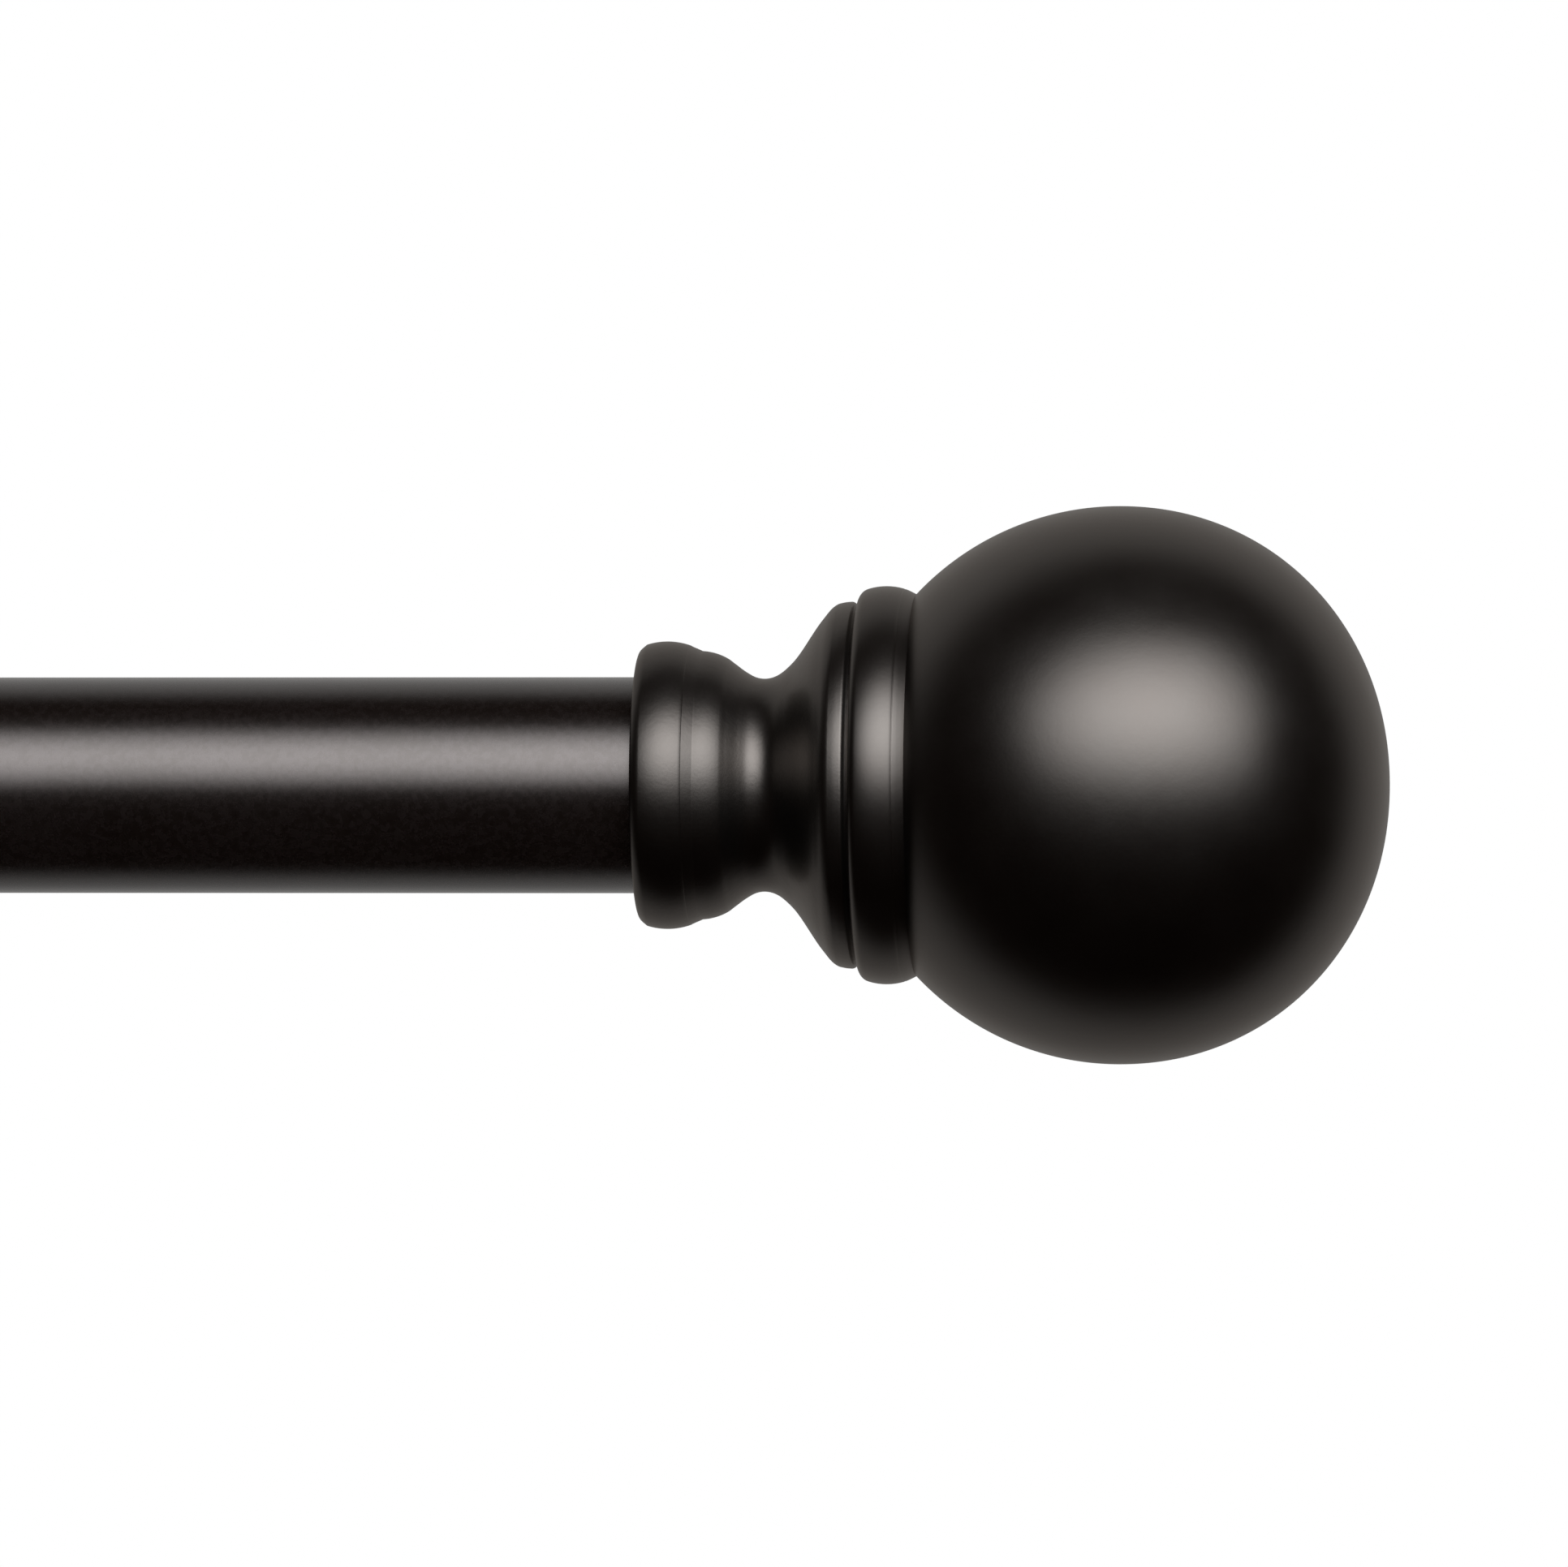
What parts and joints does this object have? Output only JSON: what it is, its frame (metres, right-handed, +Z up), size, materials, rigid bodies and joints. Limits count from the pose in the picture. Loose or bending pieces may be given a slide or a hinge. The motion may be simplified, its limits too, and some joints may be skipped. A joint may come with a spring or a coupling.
{
  "type": "curtain rod",
  "caption": "Telescoping round curtain rod with ball finials on stepped necks, held off a wall by adjustable cradle brackets with rosettes.",
  "frame": {"origin": "middle of the four wall screws, midway between the brackets, on the wall plane", "axes": "+X along the rod towards the outer tube's finial, +Y into the wall, +Z up"},
  "size_m": [0.8676, 0.1546, 0.076],
  "materials": {
    "rod_finish": "satin",
    "finial_metal": "satin",
    "finial_resin": "satin",
    "bracket_finish": "satin",
    "screw_steel": "satin",
    "black_screw_steel": "satin",
    "insert_brass": "satin",
    "dark_plastic": "satin",
    "natural_nylon": "matte"
  },
  "bodies": {
    "wall_mount": {"wall_screws": "screw_steel", "wall_plate_left": "bracket_finish", "post_sleeve_left": "bracket_finish", "post_screw_left": "screw_steel", "wall_plate_right": "bracket_finish", "post_sleeve_right": "bracket_finish", "post_screw_right": "screw_steel"},
    "rosette_left": {"rosette_left": "bracket_finish"},
    "arm_left": {"arm_left": "bracket_finish", "cradle_left": "bracket_finish", "cradle_screw_left": "screw_steel"},
    "arm_lock_left": {"arm_lock_screw_left": "black_screw_steel"},
    "clamp_pad_left": {"thumb_screw_pad_left": "natural_nylon"},
    "clamp_screw_left": {"thumb_screw_left": "bracket_finish"},
    "rosette_right": {"rosette_right": "bracket_finish"},
    "arm_right": {"arm_right": "bracket_finish", "cradle_right": "bracket_finish", "cradle_screw_right": "screw_steel"},
    "arm_lock_right": {"arm_lock_screw_right": "black_screw_steel"},
    "clamp_pad_right": {"thumb_screw_pad_right": "natural_nylon"},
    "clamp_screw_right": {"thumb_screw_right": "bracket_finish"},
    "outer_rod": {"outer_tube": "rod_finish", "outer_tube_liner": "dark_plastic"},
    "inner_rod": {"inner_tube": "rod_finish", "inner_tube_guide": "natural_nylon", "inner_tube_adapter": "dark_plastic"},
    "finial_left": {"finial_neck_left": "finial_metal", "finial_ball_left": "finial_resin", "finial_screw_left": "screw_steel", "finial_washer_left": "screw_steel", "finial_insert_left": "insert_brass"},
    "finial_set_left": {"finial_set_screw_left": "black_screw_steel"},
    "finial_right": {"finial_neck_right": "finial_metal", "finial_ball_right": "finial_resin", "finial_screw_right": "screw_steel", "finial_washer_right": "screw_steel", "finial_insert_right": "insert_brass"},
    "finial_set_right": {"finial_set_screw_right": "black_screw_steel"}
  },
  "joints": [
    {"name": "arm_left_slide", "type": "slide", "parent": "wall_mount", "child": "arm_left", "axis": [0, -1, 0], "range_m": [0, 0.035]},
    {"name": "rosette_left_slide", "type": "slide", "parent": "wall_mount", "child": "rosette_left", "axis": [0, -1, 0], "range_m": [0, 0.03]},
    {"name": "arm_lock_left_turn", "type": "hinge", "parent": "wall_mount", "child": "arm_lock_left", "pos_m": [-0.215, -0.062, -0.007], "axis": [0, 0, -1], "range_deg": [0, 720]},
    {"name": "thumb_screw_left_travel", "type": "slide", "parent": "arm_left", "child": "clamp_pad_left", "axis": [0, -1, 0], "range_m": [0, 0.0024]},
    {"name": "thumb_screw_left_turn", "type": "hinge", "parent": "clamp_pad_left", "child": "clamp_screw_left", "pos_m": [-0.215, -0.11, 0], "axis": [0, -1, 0], "range_deg": [0, 1080]},
    {"name": "arm_right_slide", "type": "slide", "parent": "wall_mount", "child": "arm_right", "axis": [0, -1, 0], "range_m": [0, 0.035]},
    {"name": "rosette_right_slide", "type": "slide", "parent": "wall_mount", "child": "rosette_right", "axis": [0, -1, 0], "range_m": [0, 0.03]},
    {"name": "arm_lock_right_turn", "type": "hinge", "parent": "wall_mount", "child": "arm_lock_right", "pos_m": [0.215, -0.062, -0.007], "axis": [0, 0, -1], "range_deg": [0, 720]},
    {"name": "thumb_screw_right_travel", "type": "slide", "parent": "arm_right", "child": "clamp_pad_right", "axis": [0, -1, 0], "range_m": [0, 0.0024]},
    {"name": "thumb_screw_right_turn", "type": "hinge", "parent": "clamp_pad_right", "child": "clamp_screw_right", "pos_m": [0.215, -0.11, 0], "axis": [0, -1, 0], "range_deg": [0, 1080]},
    {"name": "rod_lift", "type": "slide", "parent": "arm_left", "child": "outer_rod", "axis": [0, 0, 1], "range_m": [0, 0.04]},
    {"name": "rod_telescope", "type": "slide", "parent": "outer_rod", "child": "inner_rod", "axis": [-1, 0, 0], "range_m": [0, 0.508]},
    {"name": "finial_left_pull", "type": "slide", "parent": "inner_rod", "child": "finial_left", "axis": [-1, 0, 0], "range_m": [0, 0.03]},
    {"name": "finial_set_left_turn", "type": "hinge", "parent": "finial_left", "child": "finial_set_left", "pos_m": [-0.349, -0.0755, 0], "axis": [0, 1, 0], "range_deg": [0, 720]},
    {"name": "finial_right_pull", "type": "slide", "parent": "outer_rod", "child": "finial_right", "axis": [1, 0, 0], "range_m": [0, 0.03]},
    {"name": "finial_set_right_turn", "type": "hinge", "parent": "finial_right", "child": "finial_set_right", "pos_m": [0.349, -0.0755, 0], "axis": [0, 1, 0], "range_deg": [0, 720]}
  ],
  "couplings": [
    {"joint": "thumb_screw_left_turn", "follows": "thumb_screw_left_travel", "rad_per_m": 7854},
    {"joint": "thumb_screw_right_turn", "follows": "thumb_screw_right_travel", "rad_per_m": 7854},
    {"joint": "arm_right_slide", "follows": "arm_left_slide", "ratio": 1}
  ]
}
